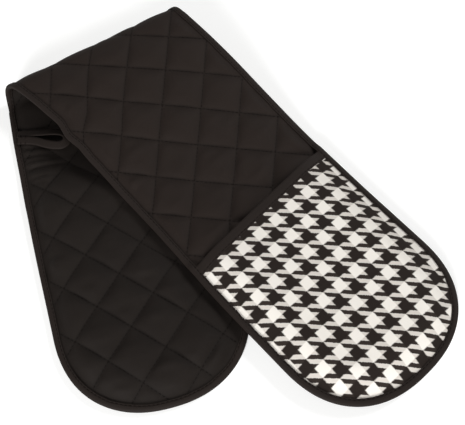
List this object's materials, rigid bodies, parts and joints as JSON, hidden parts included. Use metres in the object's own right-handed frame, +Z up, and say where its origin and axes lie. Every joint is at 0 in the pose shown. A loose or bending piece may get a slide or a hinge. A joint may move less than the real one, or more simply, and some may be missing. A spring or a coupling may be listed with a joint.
{
  "type": "double oven glove",
  "caption": "Quilted double oven glove: one long padded strip with a lined hand pocket on each end, bound edges and a hanging loop, lying folded over at its middle.",
  "frame": {"origin": "on the surface the glove lies on, under the middle of its bounding box", "axes": "+X from the fold towards the tip of the upper (front) half, along its length; +Z up from the table"},
  "size_m": [0.4876, 0.3258, 0.0361],
  "materials": {
    "quilted_cloth": "near-black cotton with a soft sheen, quilted in diagonal squares",
    "check_cloth": "cream and near-black houndstooth cotton",
    "wadding": "white needled wadding",
    "lining_cloth": "plain near-black cotton",
    "band_tape": "plain near-black folded tape",
    "binding_tape": "plain near-black bias binding with one stitch line",
    "loop_tape": "near-black twill tape"
  },
  "bodies": {
    "back_half": {"back_outer_cloth": "quilted_cloth", "back_wadding": "wadding", "back_inner_cloth": "quilted_cloth", "back_pocket_cloth": "check_cloth", "back_pocket_wadding": "wadding", "back_pocket_lining": "lining_cloth", "back_mouth_band": "band_tape", "back_binding": "binding_tape"},
    "fold": {"fold_outer_cloth": "quilted_cloth", "fold_wadding": "wadding", "fold_inner_cloth": "quilted_cloth", "fold_binding_left": "binding_tape", "fold_binding_right": "binding_tape"},
    "front_half": {"front_outer_cloth": "quilted_cloth", "front_wadding": "wadding", "front_inner_cloth": "quilted_cloth", "front_pocket_cloth": "check_cloth", "front_pocket_wadding": "wadding", "front_pocket_lining": "lining_cloth", "front_mouth_band": "band_tape", "front_binding": "binding_tape"},
    "loop": {"hanging_loop": "loop_tape"}
  },
  "joints": [
    {"name": "fold_lower", "type": "hinge", "parent": "back_half", "child": "fold", "pos_m": [-0.21518, 0.06666, 0.00632], "axis": [-0.2451, -0.9695, 0], "range_deg": [0, 90], "deforming": ["fold_outer_cloth", "fold_wadding", "fold_inner_cloth", "fold_binding_left", "fold_binding_right"]},
    {"name": "fold_upper", "type": "hinge", "parent": "fold", "child": "front_half", "pos_m": [-0.21518, 0.06666, 0.02988], "axis": [-0.2451, -0.9695, 0], "range_deg": [0, 90]},
    {"name": "loop_swing", "type": "hinge", "parent": "back_half", "child": "loop", "pos_m": [-0.19314, -0.04945, 0.0063], "axis": [0.8798, -0.4753, 0], "range_deg": [0, 180]}
  ],
  "couplings": [
    {"joint": "fold_upper", "follows": "fold_lower", "ratio": 1}
  ]
}
